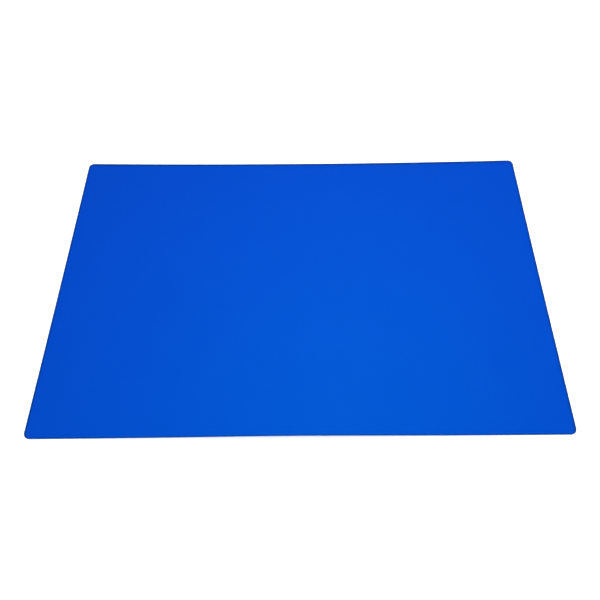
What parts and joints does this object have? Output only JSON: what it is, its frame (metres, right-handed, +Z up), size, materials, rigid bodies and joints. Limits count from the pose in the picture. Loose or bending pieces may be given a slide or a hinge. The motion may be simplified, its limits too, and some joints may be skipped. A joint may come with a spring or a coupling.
{
  "type": "desk pad",
  "caption": "Flat rectangular desk pad: one plain, flexible blue plastic sheet with small round corners and an eased rim.",
  "frame": {"origin": "middle of the underside, on the desk that the pad lies on", "axes": "+X along the long side, +Y away from the user towards the back edge, +Z up through the writing face"},
  "size_m": [0.6, 0.4, 0.002],
  "materials": {
    "blue_vinyl": "matte"
  },
  "bodies": {
    "root": {"pad_sheet": "blue_vinyl"}
  },
  "joints": []
}
